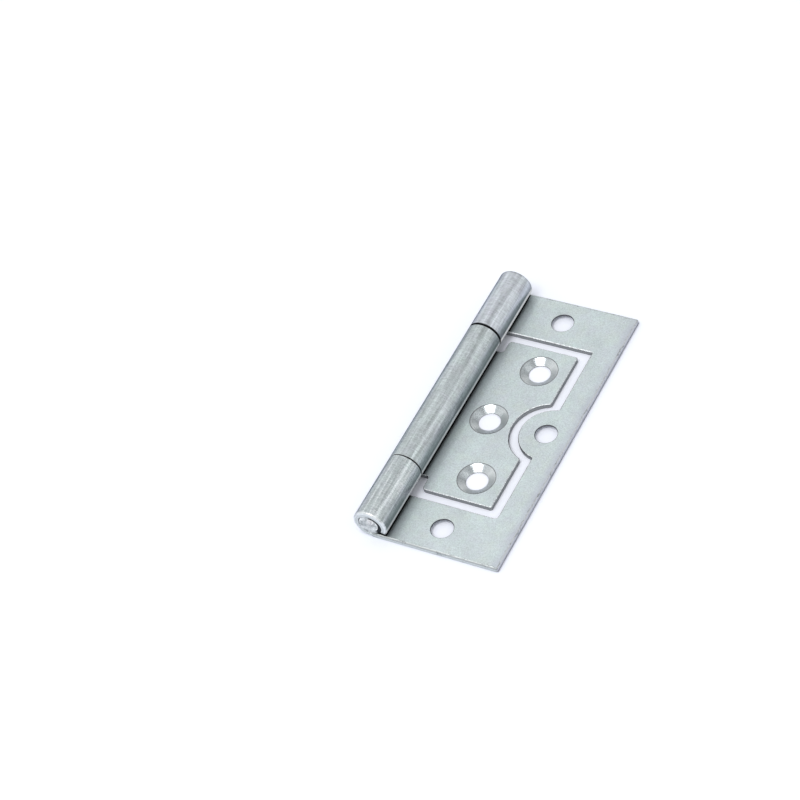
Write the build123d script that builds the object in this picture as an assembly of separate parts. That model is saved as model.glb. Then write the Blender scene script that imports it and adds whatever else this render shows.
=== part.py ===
"""Flush hinge in zinc-plated pressed steel, 75 mm long, lying closed with one leaf inside the other.

Millimetres. The knuckles are rolled about a pin along Y, the leaves reach from it towards +X,
the undersides of both leaves are z = 0, and the origin is the bottom centre of the whole hinge.
"""

from build123d import *
import math
import os

# Sheet, roll and pin
sheet = 1.2
pin_radius = 2.75
running_clearance = 0.05
lip_below_axis = 30.0  # degrees below the pin's height at which the rolled lip ends
lip_round = 0.3

# Outer leaf, with lengths along X counted from the pin's axis
hinge_length = 75.0
outer_reach = 30.5
side_arm_width = 6.0
end_arm_width = 12.4
cutout_start = 0.5
knuckle_overhang = 4.8
lobe_radius = 7.2
lobe_centre_inset = 1.1
outer_corner_round = 0.4
cutout_near_round = 0.7
cutout_far_round = 0.3
lobe_root_round = 0.4
perimeter_edge_break = 0.2
window_edge_break = 0.1

# Inner leaf, which lies in the outer one's cut-out
side_gap = 2.37
edge_gap = 2.55
tip_gap = 2.2
scallop_radius = 8.7
knuckle_gap = 0.2
neck_inset = 1.05
relief_reach = 4.85
relief_depth = 1.0  # how far past the pin's axis the relief notches run under the barrel
relief_round = 0.8
inner_corner_round = 0.45
heel_round = 0.8
scallop_cusp_round = 0.4
inner_edge_break = 0.1

# Countersunk screw holes
screw_hole_radius = 2.55
countersink_radius = 4.3
countersink_land = 0.25
outer_hole_reach = 14.2
lobe_hole_offset = 1.0
inner_hole_reach = 15.2
inner_hole_inset = 6.43
middle_hole_reach = 10.4

# Staked pin ends
staked_length = 1.2
stake_taper = 0.3
pin_end_bevel = 0.35
pin_end_dome = 0.25

# Worked out from the sizes above
bore_radius = pin_radius + running_clearance
barrel_radius = bore_radius + sheet
pin_x = -(outer_reach - barrel_radius) / 2
pin_z = barrel_radius
lip_z = pin_z - barrel_radius * math.sin(math.radians(lip_below_axis))
flat_cut_top = (sheet + lip_z) / 2
hinge_end = hinge_length / 2
cutout_edge = outer_reach - side_arm_width
cutout_side = hinge_end - end_arm_width
lobe_centre = cutout_edge + lobe_centre_inset
end_knuckle_start = cutout_side - knuckle_overhang
inner_reach = cutout_edge - edge_gap
inner_side = cutout_side - side_gap
centre_knuckle_end = end_knuckle_start - knuckle_gap
neck_side = centre_knuckle_end - neck_inset
scallop_centre = lobe_centre - lobe_radius - tip_gap + scallop_radius

overrun = 1.0  # how far cutting tools run past the sheet
near = 1e-3  # how close two places are to count as one


def rolled_blank(reach, length):
    """Flat leaf whose edge is rolled round the pin and ends in a lip above the leaf."""
    sweep = 270.0 + lip_below_axis
    with BuildPart() as blank:
        with BuildSketch(Plane.XZ) as section:
            with BuildLine():
                underside = Line((pin_x + reach, 0), (pin_x, 0))
                outside = CenterArc((pin_x, pin_z), barrel_radius, -90, -sweep)
                bore = CenterArc((pin_x, pin_z), bore_radius, -90, -sweep)
                top = Line((pin_x, sheet), (pin_x + reach, sheet))
                Line(outside @ 1, bore @ 1)
                Line(top @ 1, underside @ 0)
            make_face()
            fillet(section.vertices().filter_by(lambda v: v.Y > flat_cut_top), lip_round)
        extrude(amount=length / 2, both=True)
    return blank.part


def plan_rectangle(start, end, low, high):
    """Rectangle in plan from one reach to another and from one Y to another."""
    with BuildSketch() as plan:
        with Locations((pin_x + (start + end) / 2, (low + high) / 2)):
            Rectangle(end - start, high - low)
    return plan.sketch


def plan_circle(reach, radius):
    """Circle in plan on the hinge's middle line."""
    return Pos(pin_x + reach, 0) * Circle(radius)


def cut(plan, top):
    """Tool that takes a plan outline out of everything from below the sheet up to a height."""
    return Pos(0, 0, -overrun) * extrude(plan, overrun + top, dir=(0, 0, 1))


def knuckle_cut(low, high, reach):
    """Tool that clears the barrel and leaf between two stations along the pin."""
    clear = barrel_radius + overrun
    return cut(plan_rectangle(-clear, reach, low, high), 2 * clear)


def screw_hole(reach, y, up):
    """Tool for a clearance hole, countersunk from the leaf's top if up is 1 or its underside if -1."""
    depth = sheet - countersink_land
    spread = (countersink_radius - screw_hole_radius) / depth
    mouth = countersink_radius + spread * overrun
    shank = Cylinder(screw_hole_radius, sheet + 2 * overrun)
    head = Cone(screw_hole_radius, mouth, depth + overrun, align=(Align.CENTER, Align.CENTER, Align.MIN))
    tool = shank + Pos(0, 0, countersink_land - sheet / 2) * head
    return Pos(pin_x + reach, y, sheet / 2) * Rot(90 - 90 * up, 0, 0) * tool


def round_corners(leaf, reach, y, radius):
    """Rounds the sheet's upright corners at one reach and one Y."""
    def is_here(edge):
        middle = edge.center()
        return abs(middle.X - pin_x - reach) < near and abs(middle.Y - y) < near
    return fillet(leaf.edges().filter_by(Axis.Z).filter_by(is_here), radius)


def flat_outline(leaf):
    """Outline edges of the leaf's top and underside, without the screw holes' rims."""
    def on_outline(edge):
        ends = edge.vertices()
        heights = [v.Z for v in ends] + [edge.center().Z]
        lies_flat = max(heights) - min(heights) < near
        on_face = min(abs(heights[0]), abs(heights[0] - sheet)) < near
        return len(ends) == 2 and lies_flat and on_face and edge.center().X > pin_x + near
    return leaf.edges().filter_by(on_outline)


def on_perimeter(edge):
    """True for an edge on the outer leaf's free edge or one of its ends."""
    middle = edge.center()
    return abs(middle.X - pin_x - outer_reach) < near or abs(abs(middle.Y) - hinge_end) < near


def on_window(edge):
    """True for an edge round the outer leaf's cut-out, lobe included."""
    middle = edge.center()
    return middle.X - pin_x < cutout_edge + near and abs(middle.Y) < cutout_side + near


def make_outer_leaf():
    leaf = rolled_blank(outer_reach, hinge_length)
    leaf -= knuckle_cut(-end_knuckle_start, end_knuckle_start, barrel_radius + overrun)
    window = plan_rectangle(cutout_start, cutout_edge, -cutout_side, cutout_side)
    leaf -= cut(window - plan_circle(lobe_centre, lobe_radius), flat_cut_top)
    for side in (-1, 1):
        leaf -= screw_hole(outer_hole_reach, side * (hinge_end - end_arm_width / 2), -1)
    leaf -= screw_hole(lobe_centre - lobe_hole_offset, 0, -1)

    lobe_root = math.sqrt(lobe_radius**2 - lobe_centre_inset**2)
    leaf = round_corners(leaf, cutout_edge, -cutout_side, cutout_near_round)
    leaf = round_corners(leaf, cutout_edge, cutout_side, cutout_far_round)
    for side in (-1, 1):
        leaf = round_corners(leaf, cutout_edge, side * lobe_root, lobe_root_round)
        leaf = round_corners(leaf, outer_reach, side * hinge_end, outer_corner_round)
    leaf = chamfer(flat_outline(leaf).filter_by(on_perimeter), perimeter_edge_break)
    return chamfer(flat_outline(leaf).filter_by(on_window), window_edge_break)


def make_inner_leaf():
    leaf = rolled_blank(inner_reach, 2 * inner_side)
    beyond = inner_side + overrun
    for side in (-1, 1):
        low, high = sorted((side * centre_knuckle_end, side * beyond))
        leaf -= knuckle_cut(low, high, relief_reach)
        low, high = sorted((side * neck_side, side * beyond))
        leaf -= cut(plan_rectangle(-relief_depth, relief_reach, low, high), flat_cut_top)
        leaf -= screw_hole(inner_hole_reach, side * (inner_side - inner_hole_inset), 1)
    leaf -= cut(plan_circle(scallop_centre, scallop_radius), flat_cut_top)
    leaf -= screw_hole(middle_hole_reach, 0, 1)

    cusp = math.sqrt(scallop_radius**2 - (scallop_centre - inner_reach) ** 2)
    for side in (-1, 1):
        leaf = round_corners(leaf, relief_reach, side * neck_side, relief_round)
        leaf = round_corners(leaf, -relief_depth, side * neck_side, relief_round)
        leaf = round_corners(leaf, relief_reach, side * inner_side, heel_round)
        leaf = round_corners(leaf, inner_reach, side * inner_side, inner_corner_round)
        leaf = round_corners(leaf, inner_reach, side * cusp, scallop_cusp_round)
    return chamfer(flat_outline(leaf), inner_edge_break)


def make_hinge_pin():
    """Plain pin whose ends are staked out to fill the end knuckles' bores, with a domed end face."""
    rim = hinge_end - pin_end_dome
    taper_start = hinge_end - staked_length - stake_taper
    with BuildPart() as pin:
        with BuildSketch():
            with BuildLine():
                shank = Polyline((0, hinge_end), (0, 0), (pin_radius, 0), (pin_radius, taper_start))
                taper = Line(shank @ 1, (bore_radius, hinge_end - staked_length))
                stake = Line(taper @ 1, (bore_radius, rim - pin_end_bevel))
                bevel = Line(stake @ 1, (bore_radius - pin_end_bevel, rim))
                TangentArc((0, hinge_end), bevel @ 1, tangent=(1, 0))
            make_face()
        revolve(axis=Axis.Y)
        mirror(about=Plane.XZ)
    return Pos(pin_x, 0, pin_z) * pin.part


os.makedirs("parts", exist_ok=True)
export_step(make_outer_leaf(), "parts/outer_leaf.step")
export_step(make_inner_leaf(), "parts/inner_leaf.step")
export_step(make_hinge_pin(), "parts/hinge_pin.step")
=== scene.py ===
import math

import bmesh
import bpy
from mathutils import Matrix, Vector


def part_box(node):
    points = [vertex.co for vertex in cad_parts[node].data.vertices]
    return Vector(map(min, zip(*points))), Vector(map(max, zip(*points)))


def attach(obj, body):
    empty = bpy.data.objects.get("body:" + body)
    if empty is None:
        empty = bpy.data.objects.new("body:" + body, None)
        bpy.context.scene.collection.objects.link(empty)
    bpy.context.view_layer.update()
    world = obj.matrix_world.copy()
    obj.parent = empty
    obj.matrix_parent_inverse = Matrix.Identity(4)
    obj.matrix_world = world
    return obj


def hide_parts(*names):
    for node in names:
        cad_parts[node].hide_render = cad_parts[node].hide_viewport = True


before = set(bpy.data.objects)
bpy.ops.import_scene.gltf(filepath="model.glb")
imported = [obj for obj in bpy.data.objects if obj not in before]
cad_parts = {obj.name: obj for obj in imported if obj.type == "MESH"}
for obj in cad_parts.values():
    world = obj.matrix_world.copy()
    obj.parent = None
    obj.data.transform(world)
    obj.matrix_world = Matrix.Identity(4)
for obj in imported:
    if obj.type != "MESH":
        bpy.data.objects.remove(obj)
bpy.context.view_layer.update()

# All modelling is in millimetres and made metres at the end of each piece
pinLow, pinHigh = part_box("hinge_pin")
pinX = (pinLow.x + pinHigh.x) * 500
pinZ = (pinLow.z + pinHigh.z) * 500
pinEnd = pinHigh.y * 1000

sheet = {
    "thickness": 1.2,
    "rollTurn": 300,        # degrees that the sheet is rolled round the pin
    "rollStep": 4,
    "lipStep": 8,
    "lipRound": 0.3,
    "rimSteps": 4,
    "cornerSteps": 6,
    "arcStep": 3,           # degrees
    "holeRadius": 2.55,
    "sinkRadius": 4.3,
    "landDepth": 0.25,      # straight wall below the countersink
    "holeRim": 0.12,
    "holeSegments": 96,
}

touching = 1e-4     # how close two places are to count as one
margin = 0.01       # how far a search reaches past the edges that it looks for

# Materials by slot number on both leaves
topFace, sinkFace, cutFace = 0, 1, 2


def newVerts(made):
    return [v for v in made["geom"] if isinstance(v, bmesh.types.BMVert)]


def newFaces(made):
    return [f for f in made["geom"] if isinstance(f, bmesh.types.BMFace)]


def withParts(faces):
    return faces + list({e for f in faces for e in f.edges}) + list({v for f in faces for v in f.verts})


def radiusOf(point):
    return math.hypot(point.x - pinX, point.z - pinZ)


def traceOutline(bm, path):
    # a step is a corner (x, y), or an arc (x, y, degrees) turned about x, y
    verts = [bm.verts.new((path[0][0], path[0][1], 0))]
    for step in path[1:]:
        last = verts[-1]
        if len(step) == 3:
            made = bmesh.ops.spin(bm, geom=[last], cent=(step[0], step[1], 0), axis=(0, 0, 1),
                                  angle=math.radians(step[2]), steps=int(step[2] / sheet["arcStep"]))
            verts.append(next(v for v in made["geom_last"] if isinstance(v, bmesh.types.BMVert)))
        else:
            verts.append(bm.verts.new((step[0], step[1], 0)))
            bm.edges.new((last, verts[-1]))
    bm.edges.new((verts[-1], verts[0]))
    return list(bm.edges)


def cutBlank(bm, path):
    flat = bmesh.ops.contextual_create(bm, geom=traceOutline(bm, path))["faces"]
    made = bmesh.ops.extrude_face_region(bm, geom=flat)
    bmesh.ops.translate(bm, vec=(0, 0, sheet["thickness"]), verts=newVerts(made))
    bmesh.ops.recalc_face_normals(bm, faces=bm.faces)
    for face in bm.faces:
        face.material_index = cutFace


def bevel(bm, edges, width, steps):
    bmesh.ops.bevel(bm, geom=edges, offset=width, offset_type="OFFSET", segments=steps, profile=0.5,
                    affect="EDGES", clamp_overlap=False, material=-1)


def roundUpright(bm, corners):
    for x, y, radius in corners:
        upright = [e for e in bm.edges
                   if all(abs(v.co.x - x) < margin and abs(v.co.y - y) < margin for v in e.verts)]
        bevel(bm, upright, radius, sheet["cornerSteps"])


def roundRims(bm, belongs, topWidth, bottomWidth):
    for z, width in ((sheet["thickness"], topWidth), (0, bottomWidth)):
        rim = [e for e in bm.edges if all(abs(v.co.z - z) < touching for v in e.verts)
               and belongs((e.verts[0].co + e.verts[1].co) / 2)]
        bevel(bm, rim, width, sheet["rimSteps"])


def screwHole(bm, x, y, sunkFromTop):
    # radius and depth along the hole, from the face with the straight land to the countersunk face,
    # with both rims rounded in two steps and a small bend where the sink starts
    bore, mouth, rim = sheet["holeRadius"], sheet["sinkRadius"], sheet["holeRim"]
    land, full = sheet["landDepth"], sheet["thickness"]
    slope = (mouth - bore) / (full - land)
    profile = [(bore + rim, 0), (bore + 0.3 * rim, 0.3 * rim), (bore, rim), (bore, land - 0.03),
               (bore + 0.02, land + 0.02), (mouth - slope * rim, full - rim),
               (mouth - 0.2 * rim, full - 0.25 * rim), (mouth + rim, full)]
    flip = 1 if sunkFromTop else -1
    place = Matrix.Translation((x, y, 0 if sunkFromTop else full))
    made = bmesh.ops.create_circle(bm, cap_ends=False, segments=sheet["holeSegments"], radius=profile[0][0],
                                   matrix=place)
    rings = list({e for v in made["verts"] for e in v.link_edges})
    about = Matrix.Translation((-x, -y, 0))
    for (fromR, fromZ), (toR, toZ) in zip(profile, profile[1:]):
        made = bmesh.ops.extrude_edge_only(bm, edges=rings)
        bmesh.ops.translate(bm, vec=(0, 0, flip * (toZ - fromZ)), verts=newVerts(made))
        bmesh.ops.scale(bm, vec=(toR / fromR, toR / fromR, 1), space=about, verts=newVerts(made))
        for face in newFaces(made):
            face.material_index = sinkFace if fromZ > land and toZ < full else cutFace
        rings = [e for e in made["geom"] if isinstance(e, bmesh.types.BMEdge) and e.is_boundary]


def openFlats(bm):
    # the top and the underside have far more corners than any other face
    flats = [f for f in bm.faces if len(f.verts) > 40]
    bmesh.ops.delete(bm, geom=flats, context="FACES_ONLY")


def fillFlats(bm):
    bmesh.ops.remove_doubles(bm, verts=bm.verts, dist=touching)
    for z in (0, sheet["thickness"]):
        rims = [e for e in bm.edges if e.is_boundary and all(abs(v.co.z - z) < touching for v in e.verts)]
        made = bmesh.ops.triangle_fill(bm, edges=rims, normal=(0, 0, 1), use_beauty=True,
                                       use_dissolve=False)
        for face in newFaces(made):
            face.material_index = topFace


def sectionFaces(bm, low, high):
    # the sheet's upright end face on the line where its roll starts
    return [f for f in bm.faces
            if all(abs(v.co.x - pinX) < touching and low - margin < v.co.y < high + margin
                   for v in f.verts)]


def reshapeCorner(bm, faces, y, z, grow):
    # changes the rounding of one corner of the section, before it is rolled
    span = max(outerLeaf["outerRims"]) + 0.07   # takes in the whole rounding
    arc = [v for v in faces[0].verts if abs(v.co.y - y) < span and abs(v.co.z - z) < span]
    bmesh.ops.scale(bm, vec=(1, grow, grow), space=Matrix.Translation((0, -y, -z)), verts=arc)


def rollSection(bm, faces, degrees, steps):
    before = set(bm.faces)
    made = bmesh.ops.spin(bm, geom=withParts(faces), cent=(pinX, 0, pinZ), axis=(0, 1, 0),
                          angle=math.radians(degrees), steps=steps)
    for face in set(bm.faces) - before:
        face.normal_update()
        towardEnd = abs(face.normal.y) > 0.6
        face.material_index = cutFace if towardEnd else topFace
    return newFaces({"geom": made["geom_last"]})


def rollLip(bm, faces):
    # the last stretch, with the sheet's cut edge rounded
    last = rollSection(bm, faces, sheet["lipStep"], 1)[0]
    last.material_index = cutFace
    alongPin = [e for e in last.edges if e.calc_length() > 4 * sheet["thickness"]]
    bevel(bm, alongPin, sheet["lipRound"], sheet["rimSteps"])


# how the rounding strips are marked for a rubbed look with a painted highlight, and for painted shade
rimWearAndLight = {
    "stripWidth": 0.2,          # a face narrower than this rounds an edge
    "stripArea": 6,
    "holeReach": 2.7,           # from a plain hole's centre, past its wall
    "sinkRim": (3.9, 4.7),      # from a countersunk hole's centre, the strip round its mouth
    "sinkRimShade": 0.55,
    "sinkSlope": 2.4,           # how fast the painted light on a sink's wall grows as it turns to the barrel or the far end
    "sinkStart": (0.1, 0.3),    # and what is taken off, for each of the two
    "barrelReach": 4.05,        # from the pin's axis, just past the roll
    "lipTurn": (115, 120.5),    # degrees from the roll's crest, towards the leaves
    "upright": 0.12,            # a face is upright if its normal rises less than this
    "straight": 0.995,          # and square to an axis if its normal's largest part is more than this
    "farEnd": 0.5,              # how much of the far knuckle's end gets painted shade
    "farEndShade": 0.3,
    "knuckleRubAndLight": 0.8,
    "endShade": 0.35,
}


def nearest(point, places):
    return min((math.hypot(point.x - x, point.y - y) for x, y in places), default=math.inf)


def markRims(bm, holes, sinks):
    # the narrow strips that round the edges rub bright, partly wear and partly a painted highlight, and get
    # painted shade in the holes, round the sinks' mouths and where they face away or down; a sink's wall
    # gets painted light where it turns to the barrel or the far end
    w = rimWearAndLight
    rubAndLight = bm.faces.layers.float.new("rubbedAndLit")
    paintedShade = bm.faces.layers.float.new("paintedShade")
    justAbove = sheet["thickness"] + 0.1
    cutoutSide, cutoutEdge = outerLeaf["cutoutSide"] + 0.2, outerLeaf["cutoutEdge"] + 0.2
    for face in bm.faces:
        middle = face.calc_center_median()
        normal = face.normal
        # painted shade on the plain holes' walls and on the strip round each countersink's mouth
        if face.material_index == cutFace and nearest(middle, holes) < w["holeReach"]:
            face[paintedShade] = 1.0
            continue
        if face.material_index == cutFace and w["sinkRim"][0] < nearest(middle, sinks) < w["sinkRim"][1]:
            face[paintedShade] = w["sinkRimShade"]
            continue
        # painted light on a sink's wall where it turns to the barrel or the far end
        if face.material_index == sinkFace:
            toBarrel = -w["sinkSlope"] * normal.x - w["sinkStart"][0]
            toFarEnd = w["sinkSlope"] * normal.y - w["sinkStart"][1]
            face[rubAndLight] = max(0.0, min(1.0, max(toBarrel, toFarEnd)))
            continue
        turn = math.degrees(math.atan2(middle.x - pinX, middle.z - pinZ))
        width = min(e.calc_length() for e in face.edges)
        strip = width < w["stripWidth"] and face.calc_area() < w["stripArea"]
        straight = max(abs(normal.x), abs(normal.y), abs(normal.z)) > w["straight"]
        rolled = radiusOf(middle) < w["barrelReach"] and abs(normal.y) < 0.1
        lip = rolled and w["lipTurn"][0] < turn < w["lipTurn"][1] and strip
        upright = middle.x > pinX + 0.1 and middle.z < justAbove and abs(normal.z) < w["upright"]
        if not lip and (not strip or straight or rolled or upright):
            continue
        within = abs(middle.y) < cutoutSide and pinX + 0.5 < middle.x < cutoutEdge and middle.z < justAbove
        faceAway = normal.y > 0.25 or normal.x < -0.25
        faceDown = within and normal.z < -0.1
        onRoll = middle.x < pinX + 0.1 or middle.z > justAbove
        # painted shade on the far knuckle's end and on cut-out faces that face away or down; the other
        # strips get the rubbed look with a painted highlight
        if onRoll and middle.y > outerLeaf["end"] - w["farEnd"]:
            face[paintedShade] = w["farEndShade"]
        elif onRoll or within or lip:
            mark = paintedShade if (within and faceAway) or faceDown else rubAndLight
            face[mark] = w["knuckleRubAndLight"] if onRoll and not lip else 1.0
        elif normal.z > 0.1:
            face[paintedShade] = w["endShade"] if abs(normal.y) > 0.2 else 0.0


def weighNormals(mesh):
    # vertex normals that follow the larger faces, so that flats and cones stay true up to their rims
    sums = [Vector() for vertex in mesh.vertices]
    for face in mesh.polygons:
        for index in face.vertices:
            sums[index] += face.normal * face.area * 1e6
    mesh.normals_split_custom_set_from_vertices([n.normalized() for n in sums])


def finishSheet(bm, name, holes=(), sinks=()):
    bmesh.ops.remove_doubles(bm, verts=bm.verts, dist=touching)
    bmesh.ops.recalc_face_normals(bm, faces=bm.faces)
    for face in bm.faces:
        face.smooth = True
    markRims(bm, holes, sinks)
    print(name, "faces", len(bm.faces), "open edges", sum(len(e.link_faces) != 2 for e in bm.edges))
    bmesh.ops.scale(bm, vec=(0.001, 0.001, 0.001), verts=bm.verts)
    mesh = bpy.data.meshes.new(name)
    bm.to_mesh(mesh)
    bm.free()
    weighNormals(mesh)
    piece = bpy.data.objects.new(name, mesh)
    bpy.context.scene.collection.objects.link(piece)
    return piece


outerLeaf = {
    "end": 37.5,
    "freeEdge": 17.25,
    "knuckleStart": 20.3,
    "tabEdge": -12.75,
    "cutoutSide": 25.1,
    "cutoutEdge": 11.25,
    "lobeCentre": 12.35,
    "lobeRadius": 7.2,
    "endHoles": (0.95, 31.3),
    "lobeHole": 11.35,
    "cornerRound": 0.4,
    "cutoutNearRound": 0.7,
    "cutoutFarRound": 0.3,
    "lobeRootRound": 0.4,
    "outerRims": (0.38, 0.15),       # rounding of the top and bottom edges round the outside
    "cutoutRims": (0.22, 0.1),
    "knuckleRims": (0.2, 3.4),       # how many times as wide the first two are on the knuckles' ends
}


def makeOuterLeaf():
    o = outerLeaf
    bm = bmesh.new()
    root = math.sqrt(o["lobeRadius"] ** 2 - (o["lobeCentre"] - o["cutoutEdge"]) ** 2)
    startAngle = math.degrees(math.atan2(root, o["cutoutEdge"] - o["lobeCentre"]))
    cutBlank(bm, [
        (pinX, -o["end"]), (o["tabEdge"], -o["end"]), (o["freeEdge"], -o["end"]), (o["freeEdge"], o["end"]),
        (o["tabEdge"], o["end"]), (pinX, o["end"]), (pinX, o["knuckleStart"]),
        (o["tabEdge"], o["knuckleStart"]), (o["tabEdge"], o["cutoutSide"]),
        (o["cutoutEdge"], o["cutoutSide"]), (o["cutoutEdge"], root),
        (o["lobeCentre"], 0, 360 - 2 * startAngle),
        (o["cutoutEdge"], -o["cutoutSide"]), (o["tabEdge"], -o["cutoutSide"]),
        (o["tabEdge"], -o["knuckleStart"]), (pinX, -o["knuckleStart"]),
    ])
    roundUpright(bm, [
        (o["freeEdge"], -o["end"], o["cornerRound"]), (o["freeEdge"], o["end"], o["cornerRound"]),
        (o["cutoutEdge"], -o["cutoutSide"], o["cutoutNearRound"]),
        (o["cutoutEdge"], o["cutoutSide"], o["cutoutFarRound"]),
        (o["cutoutEdge"], root, o["lobeRootRound"]), (o["cutoutEdge"], -root, o["lobeRootRound"]),
    ])
    inset = o["cornerRound"] + 0.05     # takes in the rounded corners
    roundRims(bm, lambda p: abs(p.y) > o["end"] - inset or p.x > o["freeEdge"] - inset, *o["outerRims"])
    roundRims(bm, lambda p: pinX + margin < p.x < o["cutoutEdge"] + margin
              and abs(p.y) < o["cutoutSide"] + margin, *o["cutoutRims"])
    openFlats(bm)
    x, y = o["endHoles"]
    holes = (x, y), (x, -y), (o["lobeHole"], 0)
    for place in holes:
        screwHole(bm, *place, False)
    fillFlats(bm)
    full = sheet["rollTurn"] - sheet["lipStep"]
    for side in (-1, 1):
        low, high = sorted((side * o["knuckleStart"], side * o["end"]))
        faces = sectionFaces(bm, low, high)
        reshapeCorner(bm, faces, side * o["end"], 0, o["knuckleRims"][1])
        reshapeCorner(bm, faces, side * o["end"], sheet["thickness"], o["knuckleRims"][0])
        faces = rollSection(bm, faces, full, round(full / sheet["rollStep"]))
        rollLip(bm, faces)
    return finishSheet(bm, "outerLeafPressed", holes)


innerLeaf = {
    "side": 22.73,
    "edge": 8.7,
    "neckSide": 19.05,
    "knuckleEnd": 20.1,
    "reliefEdge": -8.4,
    "reliefTurn": 16,       # degrees round the roll at which the knuckle widens past its neck
    "reliefSteps": 4,
    "scallopCentre": 11.65,
    "scallopRadius": 8.7,
    "sideHoles": (1.95, 16.3),
    "middleHole": -2.85,
    "reliefRound": 0.8,
    "heelRound": 0.8,
    "cornerRound": 0.45,
    "cuspRound": 0.4,
    "rims": (0.18, 0.11),
}


def makeInnerLeaf():
    n = innerLeaf
    bm = bmesh.new()
    cusp = math.sqrt(n["scallopRadius"] ** 2 - (n["scallopCentre"] - n["edge"]) ** 2)
    startAngle = math.degrees(math.atan2(cusp, n["edge"] - n["scallopCentre"]))
    cutBlank(bm, [
        (pinX, n["neckSide"]), (n["reliefEdge"], n["neckSide"]), (n["reliefEdge"], n["side"]),
        (n["edge"], n["side"]), (n["edge"], cusp), (n["scallopCentre"], 0, 360 - 2 * startAngle),
        (n["edge"], -n["side"]), (n["reliefEdge"], -n["side"]), (n["reliefEdge"], -n["neckSide"]),
        (pinX, -n["neckSide"]),
    ])
    roundUpright(bm, [(x, side * y, radius) for side in (-1, 1) for x, y, radius in (
        (n["reliefEdge"], n["neckSide"], n["reliefRound"]), (n["reliefEdge"], n["side"], n["heelRound"]),
        (n["edge"], n["side"], n["cornerRound"]), (n["edge"], cusp, n["cuspRound"]))])
    roundRims(bm, lambda p: p.x > pinX + margin, *n["rims"])
    openFlats(bm)
    x, y = n["sideHoles"]
    sinks = (x, y), (x, -y), (n["middleHole"], 0)
    for place in sinks:
        screwHole(bm, *place, True)
    fillFlats(bm)
    faces = sectionFaces(bm, -n["neckSide"], n["neckSide"])
    faces = rollSection(bm, faces, n["reliefTurn"], n["reliefSteps"])
    made = bmesh.ops.extrude_face_region(bm, geom=faces)
    bmesh.ops.delete(bm, geom=faces, context="FACES_ONLY")
    for side in (-1, 1):
        bmesh.ops.translate(bm, vec=(0, side * (n["knuckleEnd"] - n["neckSide"]), 0),
                            verts=[v for v in newVerts(made) if side * v.co.y > 0])
    full = sheet["rollTurn"] - sheet["lipStep"] - n["reliefTurn"]
    rollLip(bm, rollSection(bm, newFaces(made), full, round(full / sheet["rollStep"])))
    return finishSheet(bm, "innerLeafPressed", sinks=sinks)


hingePin = {
    "radius": 2.75,
    "stakedRadius": 2.8,
    "stakedLength": 1.2,
    "taper": 0.3,
    "rim": 0.35,            # bevel round the end face
    "rimSteps": 4,
    "dome": 0.12,
    "domeSteps": 10,
    "slant": 2.8,           # degrees that the hammered ends lie askew
    "shift": 0.42,          # how far they are pushed off centre
    "away": (0.8, 0.6),     # direction, in X and Z, that they lean back from
    "segments": 96,
    "dent": (0.3, 1.1, 0.75, 0.06),     # place from the axis, radius and depth of the punch mark
}


def makePin():
    # radius and place along the pin, from its middle out to the centre of an end
    h = hingePin
    face = pinEnd - h["dome"]
    flat = h["stakedRadius"] - h["rim"]
    half = [(h["radius"], 0), (h["radius"], pinEnd - h["stakedLength"] - h["taper"]),
            (h["stakedRadius"], pinEnd - h["stakedLength"]), (h["stakedRadius"], face - h["rim"])]
    for step in range(1, h["rimSteps"] + 1):
        turn = math.radians(90 * step / h["rimSteps"])
        half.append((flat + h["rim"] * math.cos(turn), face - h["rim"] * (1 - math.sin(turn))))
    for step in range(h["domeSteps"] - 1, -1, -1):
        share = step / h["domeSteps"]
        half.append((flat * share, face + h["dome"] * (1 - share ** 2)))
    profile = [(r, -y) for r, y in reversed(half[1:])] + half
    bm = bmesh.new()
    verts = [bm.verts.new((pinX + r, y, pinZ)) for r, y in profile]
    edges = [bm.edges.new(pair) for pair in zip(verts, verts[1:])]
    bmesh.ops.spin(bm, geom=verts + edges, cent=(pinX, 0, pinZ), axis=(0, 1, 0), angle=2 * math.pi,
                   steps=h["segments"], use_merge=True)
    bmesh.ops.remove_doubles(bm, verts=bm.verts, dist=touching)
    for side in (-1, 1):
        crown = [v for v in bm.verts if side * v.co.y > face - margin]
        x, z = h["away"]
        bmesh.ops.rotate(bm, cent=(pinX, side * face, pinZ), verts=crown,
                         matrix=Matrix.Rotation(math.radians(side * h["slant"]), 3, (z, 0, -x)))
        bmesh.ops.translate(bm, vec=(-x * h["shift"], 0, -z * h["shift"]), verts=crown)
        x, z, radius, depth = h["dent"]
        for vert in crown:
            reach = math.hypot(vert.co.x - pinX - x, vert.co.z - pinZ - z) / radius
            vert.co.y -= side * depth * max(0, 1 - reach ** 2)
        proud = max(side * v.co.y for v in crown) - pinEnd
        bmesh.ops.translate(bm, vec=(0, -side * proud, 0), verts=crown)
    return finishSheet(bm, "hingePinStaked")


outerPiece = makeOuterLeaf()
innerPiece = makeInnerLeaf()
pinPiece = makePin()
for piece, body, slot, node in (
        (outerPiece, "outer_leaf_and_pin", "leaf_zinc", "outer_leaf"),
        (innerPiece, "inner_leaf", "leaf_zinc", "inner_leaf"),
        (pinPiece, "outer_leaf_and_pin", "pin_zinc", "hinge_pin")):
    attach(piece, body)
    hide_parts(node)
print("leaves pressed and rolled, pin staked")


def addNode(tree, kind, inputs=None, **settings):
    # inputs are values or the sockets that feed them
    made = tree.nodes.new("ShaderNode" + kind)
    for name, value in settings.items():
        setattr(made, name, value)
    feed(tree, made, inputs or {})
    return made


def feed(tree, node, inputs):
    for name, value in inputs.items():
        if isinstance(value, bpy.types.NodeSocket):
            tree.links.new(value, node.inputs[name])
        else:
            node.inputs[name].default_value = value


def calc(tree, operation, a, b=0.0):
    return addNode(tree, "Math", {0: a, 1: b}, operation=operation).outputs[0]


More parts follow.
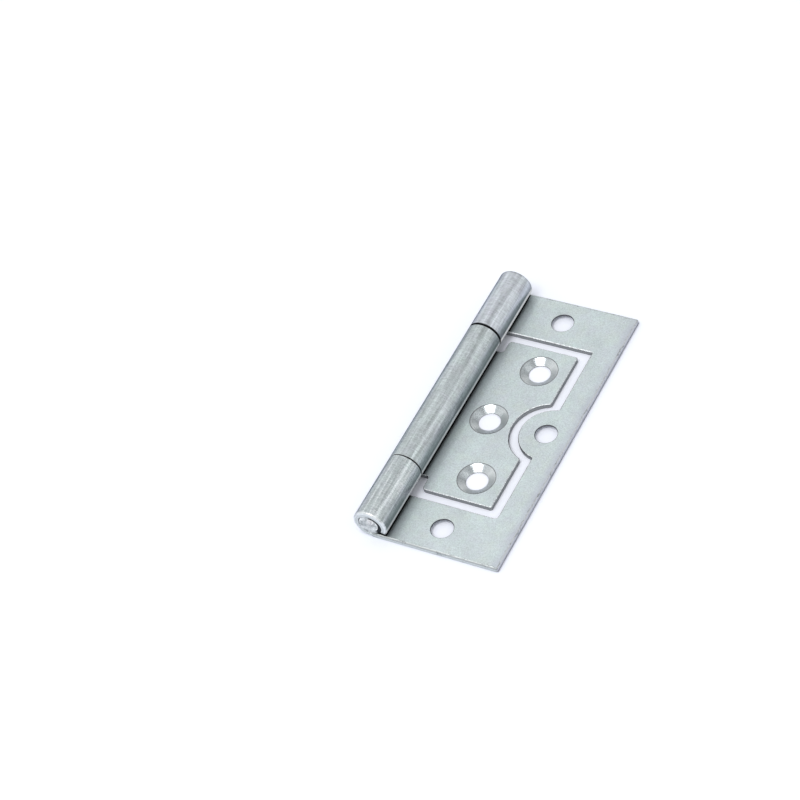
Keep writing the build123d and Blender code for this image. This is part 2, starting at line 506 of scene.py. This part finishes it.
def product(tree, first, *others):
    for value in others:
        first = calc(tree, "MULTIPLY", first, value)
    return first


def reachOf(tree, across, up):
    squares = calc(tree, "ADD", product(tree, across, across), product(tree, up, up))
    return calc(tree, "SQRT", squares)


def remap(tree, value, fromLow, fromHigh, toLow, toHigh):
    return addNode(tree, "MapRange", {"Value": value, "From Min": fromLow, "From Max": fromHigh,
                                      "To Min": toLow, "To Max": toHigh}).outputs["Result"]


def rise(tree, value, low, high, top=1.0):
    # nothing up to the low value, and the whole from the high one on
    return remap(tree, value, low, high, 0.0, top)


def fall(tree, value, low, high, top=1.0):
    return remap(tree, value, low, high, top, 0.0)


def between(tree, share, low, high):
    return remap(tree, share, 0.0, 1.0, low, high)


def blend(tree, factor, a, b, mode="MIX"):
    made = addNode(tree, "Mix", data_type="RGBA", blend_type=mode)
    feed(tree, made, {0: factor, 6: a, 7: b})
    return made.outputs[2]


def grey(tree, level):
    return addNode(tree, "CombineColor", {"Red": level, "Green": level, "Blue": level}).outputs[0]


def noise(tree, vector, size, detail=2.0, roughness=0.5):
    # size is that of a patch, in millimetres
    return addNode(tree, "TexNoise", {"Vector": vector, "Scale": 1000 / size, "Detail": detail,
                                      "Roughness": roughness}).outputs["Fac"]


def placesOf(tree, vector):
    return addNode(tree, "SeparateXYZ", {"Vector": vector}).outputs


def faceMark(tree, name):
    return addNode(tree, "Attribute", attribute_name=name).outputs["Fac"]


def metres(low, high, start=0.0):
    # a stretch given in millimetres, counted from a start
    return (start + low) / 1000, (start + high) / 1000


def newGroup(name, outputs, **sizes):
    # every group reads a place, and puts out masks
    group = bpy.data.node_groups.new(name, "ShaderNodeTree")
    group.interface.new_socket("Vector", in_out="INPUT", socket_type="NodeSocketVector")
    for label, value in sizes.items():
        socket = group.interface.new_socket(label, in_out="INPUT", socket_type="NodeSocketFloat")
        socket.default_value = value
    for label in outputs:
        group.interface.new_socket(label, in_out="OUTPUT", socket_type="NodeSocketFloat")
    return group, group.nodes.new("NodeGroupInput").outputs, group.nodes.new("NodeGroupOutput").inputs


def useGroup(tree, group, place, **sizes):
    made = tree.nodes.new("ShaderNodeGroup")
    made.node_tree = group
    feed(tree, made, {"Vector": place, **sizes})
    return made.outputs


def makeZincClouds():
    # soft patches a few millimetres wide, with finer mottling inside them
    group, given, out = newGroup("zincClouds", ("Cloud", "Speckle"), Large=6.0, Fine=0.9)
    for label, size, detail, roughness in (("Cloud", "Large", 3.0, 0.6), ("Speckle", "Fine", 4.0, 0.7)):
        scale = calc(group, "DIVIDE", 1000.0, given[size])
        made = addNode(group, "TexNoise", {"Vector": given["Vector"], "Scale": scale, "Detail": detail,
                                           "Roughness": roughness})
        group.links.new(rise(group, made.outputs["Fac"], 0.3, 0.7), out[label])
    return group


# Lengths in these dictionaries are millimetres, and shares run from 0 to 1
rollMarks = {
    "Rolled": (4.04, 4.2),      # fades out between these distances from the pin's axis
    "Bore": (2.86, 2.92),
    "Flank": (50, 86),          # degrees round the roll from its crest, towards the leaves
    "Lip": (92, 119),
    "Burr": (93, 98),
    "Back": (-45, -15),
    "streakSize": 0.9,
    "streakSquash": 0.06,       # a smaller share makes the streaks longer
    "streakLevels": (0.32, 0.68),
    "tickSize": 0.34,
    "tickSquash": 0.16,
    "tickLevels": (0.35, 0.65),
}


def makeRolledMarks():
    # the knuckles: streaks along the roll, fine ticks across it, and which part of the leaf is rolled
    m = rollMarks
    group, given, out = newGroup("rolledMarks", ("Rolled", "Streak", "Tick", "Flank", "Back", "Burr", "Lip",
                                                 "Bore"))
    at = placesOf(group, given["Vector"])
    side = calc(group, "SUBTRACT", at["X"], pinX / 1000)
    height = calc(group, "SUBTRACT", at["Z"], pinZ / 1000)
    reach = reachOf(group, side, height)
    turn = calc(group, "ARCTAN2", side, height)
    around = product(group, turn, pinZ / 1000)
    along = product(group, at["Y"], m["streakSquash"])
    streaks = addNode(group, "CombineXYZ", {"X": around, "Y": along}).outputs[0]
    squashed = product(group, around, m["tickSquash"])
    ticks = addNode(group, "CombineXYZ", {"X": squashed, "Y": at["Y"]}).outputs[0]
    streak = rise(group, noise(group, streaks, m["streakSize"], 3.0, 0.6), *m["streakLevels"])
    tick = rise(group, noise(group, ticks, m["tickSize"], 2.0, 0.6), *m["tickLevels"])
    group.links.new(streak, out["Streak"])
    group.links.new(tick, out["Tick"])
    for label in ("Rolled", "Bore"):
        group.links.new(fall(group, reach, *metres(*m[label])), out[label])
    for label, change in (("Flank", rise), ("Lip", rise), ("Burr", rise), ("Back", fall)):
        group.links.new(change(group, turn, *(math.radians(a) for a in m[label])), out[label])
    return group


gapLines = {
    "place": 20.2,              # the middle of each gap, from the middle of the hinge
    "halfWidths": (0.16, 0.3),  # of the near and the far line
    "fade": 0.06,
    "halfWay": (-1, 1),         # where the near line's values give way to the far one's
    "barrelEnd": (4.1, 4.2),    # from the pin's axis
    "nearStart": (-1.5, 0.8),   # where the near line grows from faint to full, from the pin's axis
    "nearFaint": 0.2,
}


def makeKnuckleGapShadows():
    # a painted shadow line where one knuckle ends and the next begins, wider at the far gap
    g = gapLines
    group, given, out = newGroup("knuckleGapShadows", ("Gap",))
    at = placesOf(group, given["Vector"])
    halfWay = metres(*g["halfWay"])
    fromMiddle = calc(group, "ABSOLUTE", at["Y"])
    off = calc(group, "ABSOLUTE", calc(group, "SUBTRACT", fromMiddle, g["place"] / 1000))
    width = remap(group, at["Y"], *halfWay, *metres(*g["halfWidths"]))
    line = fall(group, calc(group, "SUBTRACT", off, width), 0.0, g["fade"] / 1000)
    onBarrel = fall(group, at["X"], *metres(*g["barrelEnd"], pinX))
    near = remap(group, at["X"], *metres(*g["nearStart"], pinX), g["nearFaint"], 1.0)
    strength = calc(group, "MAXIMUM", rise(group, at["Y"], *halfWay), near)
    group.links.new(product(group, line, strength, onBarrel), out["Gap"])
    return group


scuffLines = {
    "reach": 1.8,               # how far in from the edge a line wanders
    "outward": 0.6,             # how far all of them are set back towards the edge
    "widths": (0.04, 0.16),     # the dark core and the fade of a line
    "wanderSize": 1.9,
    "breakSize": 2.2,
    "breakLevels": (0.46, 0.6),
}


def makeEdgeScuffs():
    # broken dark lines that run beside the outer leaf's free edge and ends
    s = scuffLines
    group, given, out = newGroup("edgeScuffs", ("Scuff",))
    at = placesOf(group, given["Vector"])
    fromEnd = calc(group, "SUBTRACT", outerLeaf["end"] / 1000, calc(group, "ABSOLUTE", at["Y"]))
    fromEdge = calc(group, "SUBTRACT", outerLeaf["freeEdge"] / 1000, at["X"])
    inFrom = calc(group, "MINIMUM", fromEnd, fromEdge)
    wander = product(group, noise(group, given["Vector"], s["wanderSize"], 4.0, 0.7), s["reach"] / 1000)
    wander = calc(group, "SUBTRACT", wander, s["outward"] / 1000)
    line = calc(group, "ABSOLUTE", calc(group, "SUBTRACT", inFrom, wander))
    broken = rise(group, noise(group, given["Vector"], s["breakSize"], 4.0, 0.8), *s["breakLevels"])
    group.links.new(product(group, fall(group, line, *metres(*s["widths"])), broken), out["Scuff"])
    return group


handling = {
    "nickSize": 0.55,
    "nickLevels": (0.66, 0.74),     # higher levels leave fewer nicks
    "scratchSize": 0.35,
    "scratchLevels": (0.7, 0.76),
    "scratchTurn": (0, 0, 0.6),     # radians
    "scratchSquash": (1, 0.07, 1),
}


def makeHandlingMarks():
    # scattered dark nicks and short scratches
    h = handling
    group, given, out = newGroup("handlingMarks", ("Nick", "Scratch"))
    nicks = noise(group, given["Vector"], h["nickSize"], 3.0, 0.8)
    turned = addNode(group, "Mapping", {"Vector": given["Vector"], "Rotation": h["scratchTurn"],
                                        "Scale": h["scratchSquash"]})
    lines = noise(group, turned.outputs[0], h["scratchSize"], 2.0, 0.7)
    group.links.new(rise(group, nicks, *h["nickLevels"]), out["Nick"])
    group.links.new(rise(group, lines, *h["scratchLevels"]), out["Scratch"])
    return group


zincClouds = makeZincClouds()
rolledMarks = makeRolledMarks()
knuckleGapShadows = makeKnuckleGapShadows()
edgeScuffs = makeEdgeScuffs()
handlingMarks = makeHandlingMarks()


def newZinc(name, finish):
    material = bpy.data.materials.new(name)
    material.use_nodes = True
    tree = material.node_tree
    shader = tree.nodes["Principled BSDF"]
    shader.inputs["Metallic"].default_value = 1
    shader.inputs["Specular Tint"].default_value = (*finish["grazing"], 1)
    place = addNode(tree, "TexCoord").outputs["Object"]
    large, fine = finish["cloudSizes"]
    clouds = useGroup(tree, zincClouds, place, Large=large, Fine=fine)
    return material, tree, shader, clouds, place


def weigh(tree, clouds, large, fine):
    return calc(tree, "ADD", product(tree, clouds["Cloud"], large), product(tree, clouds["Speckle"], fine))


def addBump(tree, height, depth, under=None):
    # only turns the normals, as a relief of this depth in millimetres would
    bump = addNode(tree, "Bump", {"Height": height, "Distance": depth / 1000, "Strength": 1.0})
    if under:
        tree.links.new(under, bump.inputs["Normal"])
    return bump.outputs["Normal"]


leafFinish = {
    "grazing": (0.2, 0.21, 0.23),
    "cloudSizes": (7.0, 0.8),
    "tintSizes": (2.4, 0.26),
    "pale": (0.70, 0.80, 0.79, 1),
    "deep": (0.585, 0.65, 0.645, 1),
    "lilac": (0.65, 0.67, 0.73, 1),
    "lilacShare": 0.6,
    "straw": (0.67, 0.735, 0.675, 1),
    "strawPlace": (0.04, 0.07, 0),
    "strawSize": 2.6,
    "strawLevels": (0.48, 0.66),
    "strawShare": 0.3,
    "strawOnRoll": 0.3,         # what is left of that share on the roll
    "specks": (0.8, 1.18),      # darkest and brightest speck
    # bright edges, partly rubbed wear and partly a painted highlight
    "rubbedAndLit": (0.90, 0.93, 0.94, 1),
    "rubLevels": (0.1, 0.7),
    "rubLeast": 0.25,
    "shadeShare": 0.85,
    # dark colour for nicks and scuffs, and for painted shade in the corner, on the roll and on shaded faces
    "grimeAndShade": (0.19, 0.21, 0.22, 1),
    # nearly black painted shadow along the seam, in the bore, in the knuckle gaps and in the pin's groove
    "creviceShadow": (0.03, 0.032, 0.034, 1),
    "cornerShade": (3.4, 6.3),  # painted shade beside the roll, from the pin's axis
    "cornerShare": 0.75,
    "cornerStart": (-0.2, 0),
    "seam": (3.35, 3.5),
    "topFrom": (0.85, 1.05),    # heights over which the corner's painted shade sets in
    "topTo": (1.25, 1.4),       # and ends
    "edgeLilacShade": (0.54, 0.55, 0.63, 1),
    "edgeBand": (15.0, 16.8),   # a lilac painted shade beside the free edge
    "edgeShare": 0.75,
    "edgeLeast": 0.55,
    "nickShare": 0.35,
    "scuffShare": 0.6,
    "roughness": (0.40, 0.54),
    "speckHeight": 0.35,
    "streakHeight": 0.5,
    "scratchDepth": 0.5,
    "bump": 0.012,
}

rollFinish = {
    "tint": (1.0, 0.985, 0.985, 1),
    "streaks": (0.69, 1.12),    # darkest and brightest, and so for the next two
    "ticks": (0.87, 1.09),
    "specks": (0.9, 1.1),
    "nearEnd": (-20.4, -19.8),  # where the near knuckle ends
    "farStart": (19.8, 20.4),   # and the far one starts
    "farPale": (1.22, 1.19, 1.21, 1),
    "farGrey": (0.84, 0.83, 0.87, 1),
    "farLevels": (0.25, 0.75),
    # a painted glint on the near knuckle's streaks
    "nearGlint": (0.90, 0.91, 0.92, 1),
    "glintStreaks": (0.45, 0.75),
    "glintSpecks": (0.35, 0.65),
    "glintShare": 0.7,
    "flankShadeShare": 0.68,         # painted shade on the side that faces the leaves
    "blotchLevels": (0.5, 0.85),
    "blotchShare": 0.6,
    # the lip's burr, partly real and partly a painted highlight
    "burrAndHighlight": (0.62, 0.64, 0.65, 1),
    "farBurrAndHighlight": (0.96, 0.97, 0.98, 1),
    "burrLevels": (0.1, 0.6),
    "burrLeast": 0.6,
    "burrMetallic": 0.1,
    "smoother": 0.16,           # how much less rough than the flat sheet
    "lipTilt": (0.6, 2.0),      # how far the shading turns up along the lip, before the far gap and past it
    "lipTiltFrom": (19.5, 20.5),
}


def plateLeaf(tree, place, clouds, tints, rolled):
    # pale and deep plating, then lilac and straw patches, then specks
    f = leafFinish
    color = blend(tree, clouds["Cloud"], f["pale"], f["deep"])
    color = blend(tree, product(tree, tints["Cloud"], f["lilacShare"]), color, f["lilac"])
    moved = addNode(tree, "Mapping", {"Vector": place, "Location": f["strawPlace"]}).outputs[0]
    patch = rise(tree, noise(tree, moved, f["strawSize"]), *f["strawLevels"], f["strawShare"])
    patch = product(tree, patch, between(tree, rolled, 1.0, f["strawOnRoll"]))
    color = blend(tree, patch, color, f["straw"])
    speck = between(tree, tints["Speckle"], *f["specks"])
    return blend(tree, 1.0, color, grey(tree, speck), "MULTIPLY")


def rollColor(tree, color, at, clouds, tints, marks):
    # streaked plating on the knuckles, with painted shade on the flank, the back side darker in blotches, a
    # painted glint on the near knuckle and a burr along the lip that is partly a painted highlight
    r = rollFinish
    grimeAndShade = leafFinish["grimeAndShade"]
    far = product(tree, marks["Rolled"], rise(tree, at["Y"], *metres(*r["farStart"])))
    near = product(tree, marks["Rolled"], fall(tree, at["Y"], *metres(*r["nearEnd"])))
    level = product(tree, between(tree, marks["Streak"], *r["streaks"]),
                    between(tree, marks["Tick"], *r["ticks"]),
                    between(tree, clouds["Speckle"], *r["specks"]))
    color = blend(tree, 1.0, color, r["tint"], "MULTIPLY")
    color = blend(tree, 1.0, color, grey(tree, level), "MULTIPLY")
    color = blend(tree, far, color, r["farPale"], "MULTIPLY")
    # painted glint on the near knuckle
    nearGlint = product(tree, near, rise(tree, marks["Streak"], *r["glintStreaks"]),
                    rise(tree, tints["Speckle"], *r["glintSpecks"]), r["glintShare"])
    color = blend(tree, nearGlint, color, r["nearGlint"])
    farSpecks = product(tree, far, rise(tree, tints["Speckle"], *r["farLevels"]))
    color = blend(tree, farSpecks, color, r["farGrey"], "MULTIPLY")
    color = blend(tree, product(tree, marks["Flank"], r["flankShadeShare"]), color, grimeAndShade)
    # the back side of the roll darker in blotches
    blotch = rise(tree, clouds["Speckle"], *r["blotchLevels"], r["blotchShare"])
    color = blend(tree, product(tree, marks["Back"], blotch), color, grimeAndShade)
    # burr along the lip, partly a painted highlight
    burrAndHighlight = product(tree, marks["Rolled"], marks["Burr"],
                   remap(tree, tints["Speckle"], *r["burrLevels"], r["burrLeast"], 1.0))
    return blend(tree, burrAndHighlight, color, blend(tree, far, r["burrAndHighlight"], r["farBurrAndHighlight"])), burrAndHighlight


def shadeAndSoilLeaf(tree, color, at, place, clouds, nicks):
    # painted shade in the corner beside the roll and a painted black shadow along the seam, a lilac painted
    # shade beside the free edge, nicks and scuffs
    f = leafFinish
    onTop = product(tree, rise(tree, at["Z"], *metres(*f["topFrom"])),
                    fall(tree, at["Z"], *metres(*f["topTo"])),
                    rise(tree, at["X"], *metres(*f["cornerStart"], pinX)))
    corner = fall(tree, at["X"], *metres(*f["cornerShade"], pinX), f["cornerShare"])
    color = blend(tree, product(tree, corner, onTop), color, f["grimeAndShade"])
    # a painted black shadow along the seam under the roll
    seam = fall(tree, at["X"], *metres(*f["seam"], pinX))
    color = blend(tree, product(tree, seam, onTop), color, f["creviceShadow"])
    edgeBand = rise(tree, at["X"], *metres(*f["edgeBand"]), f["edgeShare"])
    edgeBand = product(tree, edgeBand, between(tree, clouds["Cloud"], f["edgeLeast"], 1.0))
    color = blend(tree, edgeBand, color, f["edgeLilacShade"])
    color = blend(tree, product(tree, nicks["Nick"], f["nickShare"]), color, f["grimeAndShade"])
    scuff = useGroup(tree, edgeScuffs, place)["Scuff"]
    return blend(tree, product(tree, scuff, f["scuffShare"]), color, f["grimeAndShade"])


def makeLeafZinc():
    f = leafFinish
    r = rollFinish
    material, tree, shader, clouds, place = newZinc("leafZinc", f)
    large, fine = f["tintSizes"]
    tints = useGroup(tree, zincClouds, place, Large=large, Fine=fine)
    marks = useGroup(tree, rolledMarks, place)
    nicks = useGroup(tree, handlingMarks, place)
    at = placesOf(tree, place)

    color = plateLeaf(tree, place, clouds, tints, marks["Rolled"])
    rolled, burrAndHighlight = rollColor(tree, color, at, clouds, tints, marks)
    color = blend(tree, marks["Rolled"], color, rolled)
    # the bore inside the roll painted black as shade
    color = blend(tree, marks["Bore"], color, f["creviceShadow"])
    color = shadeAndSoilLeaf(tree, color, at, place, clouds, nicks)
    patchy = remap(tree, clouds["Speckle"], *f["rubLevels"], f["rubLeast"], 1.0)
    color = blend(tree, product(tree, faceMark(tree, "rubbedAndLit"), patchy), color, f["rubbedAndLit"])
    # painted shade on the faces marked for it
    color = blend(tree, product(tree, faceMark(tree, "paintedShade"), f["shadeShare"]), color, f["grimeAndShade"])
    gapShadow = useGroup(tree, knuckleGapShadows, place)["Gap"]
    # painted shadow line in the gaps between knuckles
    color = blend(tree, product(tree, gapShadow, marks["Rolled"]), color, f["creviceShadow"])
    tree.links.new(color, shader.inputs["Base Color"])
    tree.links.new(between(tree, burrAndHighlight, 1.0, r["burrMetallic"]), shader.inputs["Metallic"])

    rough = between(tree, weigh(tree, clouds, 0.5, 0.5), *f["roughness"])
    rolledRough = calc(tree, "SUBTRACT", rough, r["smoother"])
    rough = addNode(tree, "Mix", {"Factor": marks["Rolled"], "A": rough, "B": rolledRough}).outputs[0]
    tree.links.new(rough, shader.inputs["Roughness"])
    height = calc(tree, "ADD", product(tree, tints["Speckle"], f["speckHeight"]),
                  product(tree, marks["Rolled"], marks["Streak"], f["streakHeight"]))
    height = calc(tree, "SUBTRACT", height, product(tree, nicks["Scratch"], f["scratchDepth"]))
    tilt = remap(tree, at["Y"], *metres(*r["lipTiltFrom"]), *r["lipTilt"])
    lip = addBump(tree, product(tree, marks["Lip"], marks["Rolled"], tilt), 1.0)
    tree.links.new(addBump(tree, height, f["bump"], lip), shader.inputs["Normal"])
    return material


sinkFinish = {
    "grazing": (0.5, 0.52, 0.55),
    "cloudSizes": (2.0, 0.32),
    "colors": ((0.67, 0.71, 0.72, 1), (0.33, 0.36, 0.38, 1)),
    "roughness": (0.13, 0.2),
    "barrelSideLight": (0.86, 0.88, 0.88, 1),    # painted lighter where the sink faces the barrel or the far end
    "barrelSideLightShare": 0.85,
    "barrelSideRoughness": 0.34,
    "bump": 0.005,
}


def makeSinkZinc():
    f = sinkFinish
    material, tree, shader, clouds = newZinc("sinkZinc", f)[:4]
    color = blend(tree, weigh(tree, clouds, 0.4, 0.6), *f["colors"])
    # painted light where the sink faces the barrel or the far end
    sinkLight = faceMark(tree, "rubbedAndLit")
    color = blend(tree, product(tree, sinkLight, f["barrelSideLightShare"]), color, f["barrelSideLight"])
    tree.links.new(color, shader.inputs["Base Color"])
    rough = between(tree, clouds["Speckle"], *f["roughness"])
    rough = addNode(tree, "Mix", {"Factor": sinkLight, "A": rough, "B": f["barrelSideRoughness"]}).outputs[0]
    tree.links.new(rough, shader.inputs["Roughness"])
    tree.links.new(addBump(tree, clouds["Speckle"], f["bump"]), shader.inputs["Normal"])
    return material


cutFinish = {
    "grazing": (0.5, 0.52, 0.55),
    "cloudSizes": (1.4, 0.35),
    "outside": (0.68, 0.72, 0.715, 1),      # round the outside and on the knuckles' ends
    "freeTop": (0.62, 0.63, 0.67, 1),       # the free edge, from the top down, with painted shade towards the bottom
    "freeBottomShade": (0.38, 0.38, 0.41, 1),
    "freeHeights": (0.4, 1.0),              # between which it changes
    "freeFrom": (16.8, 17.2),
    "burnishedShaded": (0.18, 0.185, 0.19, 1),    # in the cut-out, just under the top edge, darker than outside as painted shade in the recess
    "tornShaded": (0.32, 0.33, 0.33, 1),          # in the cut-out, the rougher rest of the edge, also darker as painted shade
    "tornHeights": (0.85, 1.12),
    "ragged": 0.25,                         # how far those heights wander
    "cutoutPast": (0.2, 0.6),               # the cut-out's finish ends this far past its sides
    "cutoutEnd": (15.0, 15.5),
    "speckShare": 0.25,
    "nickShare": 0.6,
    "rubLevels": (0.1, 0.7),
    "rubLeast": 0.2,
    "scuffShare": 0.75,
    # dark colour of the painted shade in holes and on faces marked for painted shade
    "hole": (0.10, 0.10, 0.11, 1),
    "roughness": (0.3, 0.5),
    "bump": 0.03,
}


def makeCutZinc():
    f = cutFinish
    material, tree, shader, clouds, place = newZinc("cutZinc", f)
    at = placesOf(tree, place)
    ragged = calc(tree, "ADD", at["Z"], product(tree, clouds["Cloud"], f["ragged"] / 1000))
    tornShaded = fall(tree, ragged, *metres(*f["tornHeights"]))
    cutoutShaded = blend(tree, tornShaded, f["burnishedShaded"], f["tornShaded"])
    free = blend(tree, fall(tree, ragged, *metres(*f["freeHeights"])), f["freeTop"], f["freeBottomShade"])
    outside = blend(tree, rise(tree, at["X"], *metres(*f["freeFrom"])), f["outside"], free)
    side = calc(tree, "ABSOLUTE", at["Y"])
    within = product(tree, fall(tree, side, *metres(*f["cutoutPast"], outerLeaf["cutoutSide"])),
                     fall(tree, at["X"], *metres(*f["cutoutEnd"])))
    color = blend(tree, within, outside, cutoutShaded)
    color = blend(tree, product(tree, clouds["Speckle"], f["speckShare"]), color, f["tornShaded"])
    nicks = useGroup(tree, handlingMarks, place)
    color = blend(tree, product(tree, nicks["Nick"], f["nickShare"]), color, leafFinish["grimeAndShade"])
    patchy = remap(tree, clouds["Speckle"], *f["rubLevels"], f["rubLeast"], 1.0)
    color = blend(tree, product(tree, faceMark(tree, "rubbedAndLit"), patchy), color, leafFinish["rubbedAndLit"])
    # painted shade on the faces marked for it
    color = blend(tree, faceMark(tree, "paintedShade"), color, f["hole"])
    scuff = useGroup(tree, edgeScuffs, place)["Scuff"]
    color = blend(tree, product(tree, scuff, f["scuffShare"]), color, leafFinish["grimeAndShade"])
    gapShadow = useGroup(tree, knuckleGapShadows, place)["Gap"]
    # painted shadow line in the gaps between knuckles
    color = blend(tree, gapShadow, color, leafFinish["creviceShadow"])
    tree.links.new(color, shader.inputs["Base Color"])
    tree.links.new(between(tree, clouds["Speckle"], *f["roughness"]), shader.inputs["Roughness"])
    tree.links.new(addBump(tree, clouds["Speckle"], f["bump"]), shader.inputs["Normal"])
    return material


pinFinish = {
    "grazing": (0.55, 0.57, 0.6),
    "cloudSizes": (1.2, 0.4),
    "colors": ((0.98, 1.0, 0.98, 1), (0.32, 0.35, 0.35, 1)),
    "roughness": (0.22, 0.4),
    "nickShare": 0.5,
    # white of the punched spot, a painted highlight
    "punchedHighlight": (1.0, 1.0, 1.0, 1),
    "punchedRadius": 1.15,
    "punchedWander": 0.6,
    "punchedFade": (0.7, 1.3),              # shares of its radius
    "punchedFacets": (0.7, 1.3),
    "punchedBump": 1.2,
    "scoredWidth": 0.1,                     # the painted shade ring round the punched spot
    "scoredShare": 0.7,
    "grooveFrom": (1.85, 1.93),             # radius from which the crown's edge is painted dark as the groove's shadow
    "grooveToward": (0.95, 0.3),            # direction, in X and Z, in which that groove lies
    "grooveReach": (0.3, 0.9),
    "bump": 0.12,
}


def makePinZinc():
    f = pinFinish
    material, tree, shader, clouds, place = newZinc("pinZinc", f)
    nicks = useGroup(tree, handlingMarks, place)
    color = blend(tree, clouds["Cloud"], *f["colors"])
    color = blend(tree, product(tree, nicks["Nick"], f["nickShare"]), color, leafFinish["grimeAndShade"])
    at = placesOf(tree, place)
    side = calc(tree, "SUBTRACT", at["X"], pinX / 1000)
    height = calc(tree, "SUBTRACT", at["Z"], pinZ / 1000)

    dentX, dentZ = hingePin["dent"][:2]
    acrossDent = calc(tree, "SUBTRACT", side, dentX / 1000)
    upDent = calc(tree, "SUBTRACT", height, dentZ / 1000)
    wander = product(tree, clouds["Speckle"], f["punchedWander"] / 1000)
    fromDent = calc(tree, "ADD", reachOf(tree, acrossDent, upDent), wander)
    radius = f["punchedRadius"] / 1000
    punchedHighlight = fall(tree, fromDent, *(share * radius for share in f["punchedFade"]))
    # the punched spot painted white as a highlight
    color = blend(tree, punchedHighlight, color, f["punchedHighlight"])
    fromRim = calc(tree, "ABSOLUTE", calc(tree, "SUBTRACT", fromDent, radius))
    scoredShade = fall(tree, fromRim, 0.0, f["scoredWidth"] / 1000, f["scoredShare"])
    color = blend(tree, scoredShade, color, leafFinish["grimeAndShade"])

    x, z = f["grooveToward"]
    toLip = calc(tree, "ADD", product(tree, side, x), product(tree, height, z))
    grooveShadow = product(tree, rise(tree, toLip, *metres(*f["grooveReach"])),
                     rise(tree, reachOf(tree, side, height), *metres(*f["grooveFrom"])))
    color = blend(tree, grooveShadow, color, leafFinish["creviceShadow"])
    tree.links.new(color, shader.inputs["Base Color"])
    tree.links.new(between(tree, clouds["Speckle"], *f["roughness"]), shader.inputs["Roughness"])

    # the punched spot leans up to the light, in small facets
    leaning = product(tree, fall(tree, upDent, -radius, radius),
                      between(tree, clouds["Speckle"], *f["punchedFacets"]))
    hammered = addBump(tree, product(tree, punchedHighlight, leaning), f["punchedBump"])
    worn = weigh(tree, clouds, 1.0, 0.4)
    tree.links.new(addBump(tree, worn, f["bump"], hammered), shader.inputs["Normal"])
    return material


leafMaterials = (makeLeafZinc(), makeSinkZinc(), makeCutZinc())
for piece in (outerPiece, innerPiece):
    for material in leafMaterials:
        piece.data.materials.append(material)
pinZinc = makePinZinc()
pinPiece.data.materials.append(pinZinc)
# the CAD's own nodes are replaced, and take a material all the same
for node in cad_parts.values():
    for nodeSlot in node.material_slots:
        nodeSlot.material = pinZinc
print("materials made")

# in metres
studio = {
    "floorColor": (0.89, 0.905, 0.98),
    "floorSize": 8,
    "floorDrop": 0.00003,       # keeps the floor clear of the leaves' undersides
    "floorRoughness": 0.9,
    "floorSheen": 0.1,
    "boxToward": (-0.08, -0.3, 0.94),
    "boxDistance": 1.1,
    "boxSize": (0.42, 0.62),
    "boxBrightness": 5.8,
    # brightness of the white surround from the left (0) to the right (1)
    "surround": ((0.0, 0.97), (0.1, 0.97), (0.28, 0.95), (0.48, 0.78), (0.56, 0.65), (0.66, 0.62),
                 (0.7, 0.68), (0.73, 1.3), (0.77, 1.25), (0.82, 0.8), (0.9, 0.78), (1.0, 0.78)),
    "surroundTint": (0.97, 0.99, 1.0),
}


def softBox(name, direction, distance, size, brightness):
    # strength is given as the brightness that the panel shows
    light = bpy.data.lights.new(name, "AREA")
    light.shape = "RECTANGLE"
    light.size, light.size_y = size
    light.energy = brightness * size[0] * size[1] * math.pi
    lamp = bpy.data.objects.new(name, light)
    bpy.context.scene.collection.objects.link(lamp)
    away = Vector(direction).normalized()
    lamp.location = away * distance
    lamp.rotation_euler = away.to_track_quat("Z", "Y").to_euler()


def paintSurround():
    world = bpy.data.worlds.new("studioWhite")
    bpy.context.scene.world = world
    world.use_nodes = True
    sky = world.node_tree
    across = placesOf(sky, addNode(sky, "TexCoord").outputs["Generated"])["X"]
    ramp = addNode(sky, "ValToRGB", {"Fac": rise(sky, across, -1.0, 1.0)})
    ramp.color_ramp.interpolation = "EASE"
    stops = ramp.color_ramp.elements
    while len(stops) < len(studio["surround"]):
        stops.new(0.5)
    for stop, (place, level) in zip(stops, studio["surround"]):
        stop.position = place
        stop.color = (*(level * c for c in studio["surroundTint"]), 1)
    sky.links.new(ramp.outputs["Color"], sky.nodes["Background"].inputs["Color"])


def makeFloor():
    bm = bmesh.new()
    bmesh.ops.create_grid(bm, x_segments=1, y_segments=1, size=studio["floorSize"] / 2)
    bmesh.ops.translate(bm, vec=(0, 0, -studio["floorDrop"]), verts=bm.verts)
    mesh = bpy.data.meshes.new("studioFloor")
    bm.to_mesh(mesh)
    bm.free()
    floor = bpy.data.objects.new("studioFloor", mesh)
    bpy.context.scene.collection.objects.link(floor)
    paper = bpy.data.materials.new("floorPaper")
    paper.use_nodes = True
    shader = paper.node_tree.nodes["Principled BSDF"]
    shader.inputs["Base Color"].default_value = (*studio["floorColor"], 1)
    shader.inputs["Roughness"].default_value = studio["floorRoughness"]
    shader.inputs["Specular IOR Level"].default_value = studio["floorSheen"]
    mesh.materials.append(paper)
    return floor


softBox("overheadBox", studio["boxToward"], studio["boxDistance"], studio["boxSize"],
        studio["boxBrightness"])
paintSurround()
makeFloor()

# fitted to the edges and holes of the hinge in the photograph
viewpoint = {
    "sensorWidth": 36,
    "lens": 121.821,
    "place": (0.2373423, -0.3227885, 0.4503487),
    "turn": (41.576465, 10.953838, 27.101742),
    "clip": (0.01, 20),
}

camera = bpy.data.objects.new("studioCamera", bpy.data.cameras.new("studioCamera"))
bpy.context.scene.collection.objects.link(camera)
camera.data.sensor_width = viewpoint["sensorWidth"]
camera.data.lens = viewpoint["lens"]
camera.data.clip_start, camera.data.clip_end = viewpoint["clip"]
camera.location = viewpoint["place"]
camera.rotation_euler = [math.radians(a) for a in viewpoint["turn"]]
bpy.context.scene.camera = camera
bpy.context.scene.view_settings.view_transform = "Standard"
print("studio ready")

bpy.context.view_layer.update()
